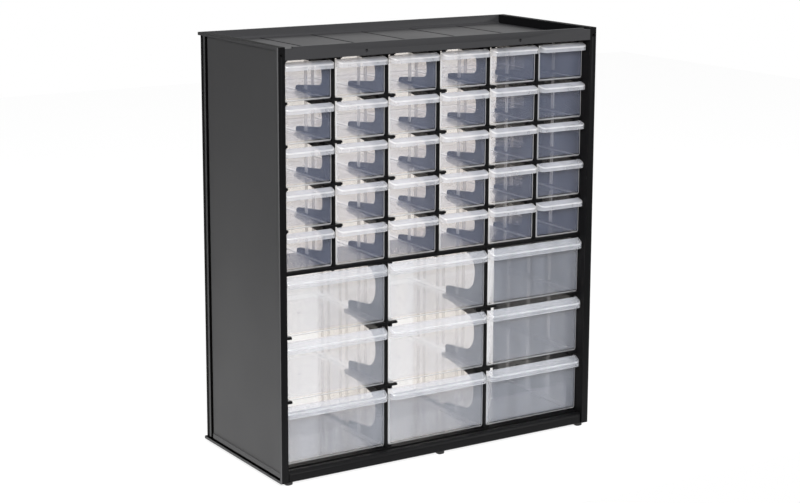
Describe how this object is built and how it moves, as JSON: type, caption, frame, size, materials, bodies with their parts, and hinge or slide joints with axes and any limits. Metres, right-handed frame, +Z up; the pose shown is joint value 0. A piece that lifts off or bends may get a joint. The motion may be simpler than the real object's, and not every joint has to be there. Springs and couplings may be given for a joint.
{
  "type": "parts bin cabinet",
  "caption": "Free-standing moulded parts cabinet: small clear drawers above, larger clear drawers below, each pulled out by a lip, in an open-backed case with a shallow tray on top.",
  "frame": {"origin": "on the ground under the middle of the case: bottom centre of the bounding box, at the feet's underside", "axes": "+Z up; +Y towards the open back, so the drawers slide out towards -Y; +X to the right as seen from the front"},
  "size_m": [0.365, 0.162, 0.4168],
  "materials": {
    "case_plastic": "black polypropylene, faint satin grain",
    "foot_plastic": "black moulded studs, satin",
    "clear_plastic": "hazy clear polypropylene, smooth outside"
  },
  "bodies": {
    "case": {"left_side_panel": "case_plastic", "right_side_panel": "case_plastic", "top_tray": "case_plastic", "middle_shelf": "case_plastic", "bottom_panel": "case_plastic", "small_divider_1": "case_plastic", "small_divider_2": "case_plastic", "small_divider_3": "case_plastic", "small_divider_4": "case_plastic", "small_divider_5": "case_plastic", "large_divider_1": "case_plastic", "large_divider_2": "case_plastic", "feet": "foot_plastic"},
    "small_drawer_r1_c1_body": {"small_drawer_r1_c1": "clear_plastic"},
    "small_drawer_r1_c2_body": {"small_drawer_r1_c2": "clear_plastic"},
    "small_drawer_r1_c3_body": {"small_drawer_r1_c3": "clear_plastic"},
    "small_drawer_r1_c4_body": {"small_drawer_r1_c4": "clear_plastic"},
    "small_drawer_r1_c5_body": {"small_drawer_r1_c5": "clear_plastic"},
    "small_drawer_r1_c6_body": {"small_drawer_r1_c6": "clear_plastic"},
    "small_drawer_r2_c1_body": {"small_drawer_r2_c1": "clear_plastic"},
    "small_drawer_r2_c2_body": {"small_drawer_r2_c2": "clear_plastic"},
    "small_drawer_r2_c3_body": {"small_drawer_r2_c3": "clear_plastic"},
    "small_drawer_r2_c4_body": {"small_drawer_r2_c4": "clear_plastic"},
    "small_drawer_r2_c5_body": {"small_drawer_r2_c5": "clear_plastic"},
    "small_drawer_r2_c6_body": {"small_drawer_r2_c6": "clear_plastic"},
    "small_drawer_r3_c1_body": {"small_drawer_r3_c1": "clear_plastic"},
    "small_drawer_r3_c2_body": {"small_drawer_r3_c2": "clear_plastic"},
    "small_drawer_r3_c3_body": {"small_drawer_r3_c3": "clear_plastic"},
    "small_drawer_r3_c4_body": {"small_drawer_r3_c4": "clear_plastic"},
    "small_drawer_r3_c5_body": {"small_drawer_r3_c5": "clear_plastic"},
    "small_drawer_r3_c6_body": {"small_drawer_r3_c6": "clear_plastic"},
    "small_drawer_r4_c1_body": {"small_drawer_r4_c1": "clear_plastic"},
    "small_drawer_r4_c2_body": {"small_drawer_r4_c2": "clear_plastic"},
    "small_drawer_r4_c3_body": {"small_drawer_r4_c3": "clear_plastic"},
    "small_drawer_r4_c4_body": {"small_drawer_r4_c4": "clear_plastic"},
    "small_drawer_r4_c5_body": {"small_drawer_r4_c5": "clear_plastic"},
    "small_drawer_r4_c6_body": {"small_drawer_r4_c6": "clear_plastic"},
    "small_drawer_r5_c1_body": {"small_drawer_r5_c1": "clear_plastic"},
    "small_drawer_r5_c2_body": {"small_drawer_r5_c2": "clear_plastic"},
    "small_drawer_r5_c3_body": {"small_drawer_r5_c3": "clear_plastic"},
    "small_drawer_r5_c4_body": {"small_drawer_r5_c4": "clear_plastic"},
    "small_drawer_r5_c5_body": {"small_drawer_r5_c5": "clear_plastic"},
    "small_drawer_r5_c6_body": {"small_drawer_r5_c6": "clear_plastic"},
    "large_drawer_r1_c1_body": {"large_drawer_r1_c1": "clear_plastic"},
    "large_drawer_r1_c2_body": {"large_drawer_r1_c2": "clear_plastic"},
    "large_drawer_r1_c3_body": {"large_drawer_r1_c3": "clear_plastic"},
    "large_drawer_r2_c1_body": {"large_drawer_r2_c1": "clear_plastic"},
    "large_drawer_r2_c2_body": {"large_drawer_r2_c2": "clear_plastic"},
    "large_drawer_r2_c3_body": {"large_drawer_r2_c3": "clear_plastic"},
    "large_drawer_r3_c1_body": {"large_drawer_r3_c1": "clear_plastic"},
    "large_drawer_r3_c2_body": {"large_drawer_r3_c2": "clear_plastic"},
    "large_drawer_r3_c3_body": {"large_drawer_r3_c3": "clear_plastic"}
  },
  "joints": [
    {"name": "small_drawer_r1_c1_slide", "type": "slide", "parent": "case", "child": "small_drawer_r1_c1_body", "axis": [0, -1, 0], "range_m": [0, 0.133]},
    {"name": "small_drawer_r1_c2_slide", "type": "slide", "parent": "case", "child": "small_drawer_r1_c2_body", "axis": [0, -1, 0], "range_m": [0, 0.133]},
    {"name": "small_drawer_r1_c3_slide", "type": "slide", "parent": "case", "child": "small_drawer_r1_c3_body", "axis": [0, -1, 0], "range_m": [0, 0.133]},
    {"name": "small_drawer_r1_c4_slide", "type": "slide", "parent": "case", "child": "small_drawer_r1_c4_body", "axis": [0, -1, 0], "range_m": [0, 0.133]},
    {"name": "small_drawer_r1_c5_slide", "type": "slide", "parent": "case", "child": "small_drawer_r1_c5_body", "axis": [0, -1, 0], "range_m": [0, 0.133]},
    {"name": "small_drawer_r1_c6_slide", "type": "slide", "parent": "case", "child": "small_drawer_r1_c6_body", "axis": [0, -1, 0], "range_m": [0, 0.133]},
    {"name": "small_drawer_r2_c1_slide", "type": "slide", "parent": "case", "child": "small_drawer_r2_c1_body", "axis": [0, -1, 0], "range_m": [0, 0.133]},
    {"name": "small_drawer_r2_c2_slide", "type": "slide", "parent": "case", "child": "small_drawer_r2_c2_body", "axis": [0, -1, 0], "range_m": [0, 0.133]},
    {"name": "small_drawer_r2_c3_slide", "type": "slide", "parent": "case", "child": "small_drawer_r2_c3_body", "axis": [0, -1, 0], "range_m": [0, 0.133]},
    {"name": "small_drawer_r2_c4_slide", "type": "slide", "parent": "case", "child": "small_drawer_r2_c4_body", "axis": [0, -1, 0], "range_m": [0, 0.133]},
    {"name": "small_drawer_r2_c5_slide", "type": "slide", "parent": "case", "child": "small_drawer_r2_c5_body", "axis": [0, -1, 0], "range_m": [0, 0.133]},
    {"name": "small_drawer_r2_c6_slide", "type": "slide", "parent": "case", "child": "small_drawer_r2_c6_body", "axis": [0, -1, 0], "range_m": [0, 0.133]},
    {"name": "small_drawer_r3_c1_slide", "type": "slide", "parent": "case", "child": "small_drawer_r3_c1_body", "axis": [0, -1, 0], "range_m": [0, 0.133]},
    {"name": "small_drawer_r3_c2_slide", "type": "slide", "parent": "case", "child": "small_drawer_r3_c2_body", "axis": [0, -1, 0], "range_m": [0, 0.133]},
    {"name": "small_drawer_r3_c3_slide", "type": "slide", "parent": "case", "child": "small_drawer_r3_c3_body", "axis": [0, -1, 0], "range_m": [0, 0.133]},
    {"name": "small_drawer_r3_c4_slide", "type": "slide", "parent": "case", "child": "small_drawer_r3_c4_body", "axis": [0, -1, 0], "range_m": [0, 0.133]},
    {"name": "small_drawer_r3_c5_slide", "type": "slide", "parent": "case", "child": "small_drawer_r3_c5_body", "axis": [0, -1, 0], "range_m": [0, 0.133]},
    {"name": "small_drawer_r3_c6_slide", "type": "slide", "parent": "case", "child": "small_drawer_r3_c6_body", "axis": [0, -1, 0], "range_m": [0, 0.133]},
    {"name": "small_drawer_r4_c1_slide", "type": "slide", "parent": "case", "child": "small_drawer_r4_c1_body", "axis": [0, -1, 0], "range_m": [0, 0.133]},
    {"name": "small_drawer_r4_c2_slide", "type": "slide", "parent": "case", "child": "small_drawer_r4_c2_body", "axis": [0, -1, 0], "range_m": [0, 0.133]},
    {"name": "small_drawer_r4_c3_slide", "type": "slide", "parent": "case", "child": "small_drawer_r4_c3_body", "axis": [0, -1, 0], "range_m": [0, 0.133]},
    {"name": "small_drawer_r4_c4_slide", "type": "slide", "parent": "case", "child": "small_drawer_r4_c4_body", "axis": [0, -1, 0], "range_m": [0, 0.133]},
    {"name": "small_drawer_r4_c5_slide", "type": "slide", "parent": "case", "child": "small_drawer_r4_c5_body", "axis": [0, -1, 0], "range_m": [0, 0.133]},
    {"name": "small_drawer_r4_c6_slide", "type": "slide", "parent": "case", "child": "small_drawer_r4_c6_body", "axis": [0, -1, 0], "range_m": [0, 0.133]},
    {"name": "small_drawer_r5_c1_slide", "type": "slide", "parent": "case", "child": "small_drawer_r5_c1_body", "axis": [0, -1, 0], "range_m": [0, 0.133]},
    {"name": "small_drawer_r5_c2_slide", "type": "slide", "parent": "case", "child": "small_drawer_r5_c2_body", "axis": [0, -1, 0], "range_m": [0, 0.133]},
    {"name": "small_drawer_r5_c3_slide", "type": "slide", "parent": "case", "child": "small_drawer_r5_c3_body", "axis": [0, -1, 0], "range_m": [0, 0.133]},
    {"name": "small_drawer_r5_c4_slide", "type": "slide", "parent": "case", "child": "small_drawer_r5_c4_body", "axis": [0, -1, 0], "range_m": [0, 0.133]},
    {"name": "small_drawer_r5_c5_slide", "type": "slide", "parent": "case", "child": "small_drawer_r5_c5_body", "axis": [0, -1, 0], "range_m": [0, 0.133]},
    {"name": "small_drawer_r5_c6_slide", "type": "slide", "parent": "case", "child": "small_drawer_r5_c6_body", "axis": [0, -1, 0], "range_m": [0, 0.133]},
    {"name": "large_drawer_r1_c1_slide", "type": "slide", "parent": "case", "child": "large_drawer_r1_c1_body", "axis": [0, -1, 0], "range_m": [0, 0.133]},
    {"name": "large_drawer_r1_c2_slide", "type": "slide", "parent": "case", "child": "large_drawer_r1_c2_body", "axis": [0, -1, 0], "range_m": [0, 0.133]},
    {"name": "large_drawer_r1_c3_slide", "type": "slide", "parent": "case", "child": "large_drawer_r1_c3_body", "axis": [0, -1, 0], "range_m": [0, 0.133]},
    {"name": "large_drawer_r2_c1_slide", "type": "slide", "parent": "case", "child": "large_drawer_r2_c1_body", "axis": [0, -1, 0], "range_m": [0, 0.133]},
    {"name": "large_drawer_r2_c2_slide", "type": "slide", "parent": "case", "child": "large_drawer_r2_c2_body", "axis": [0, -1, 0], "range_m": [0, 0.133]},
    {"name": "large_drawer_r2_c3_slide", "type": "slide", "parent": "case", "child": "large_drawer_r2_c3_body", "axis": [0, -1, 0], "range_m": [0, 0.133]},
    {"name": "large_drawer_r3_c1_slide", "type": "slide", "parent": "case", "child": "large_drawer_r3_c1_body", "axis": [0, -1, 0], "range_m": [0, 0.133]},
    {"name": "large_drawer_r3_c2_slide", "type": "slide", "parent": "case", "child": "large_drawer_r3_c2_body", "axis": [0, -1, 0], "range_m": [0, 0.133]},
    {"name": "large_drawer_r3_c3_slide", "type": "slide", "parent": "case", "child": "large_drawer_r3_c3_body", "axis": [0, -1, 0], "range_m": [0, 0.133]}
  ]
}
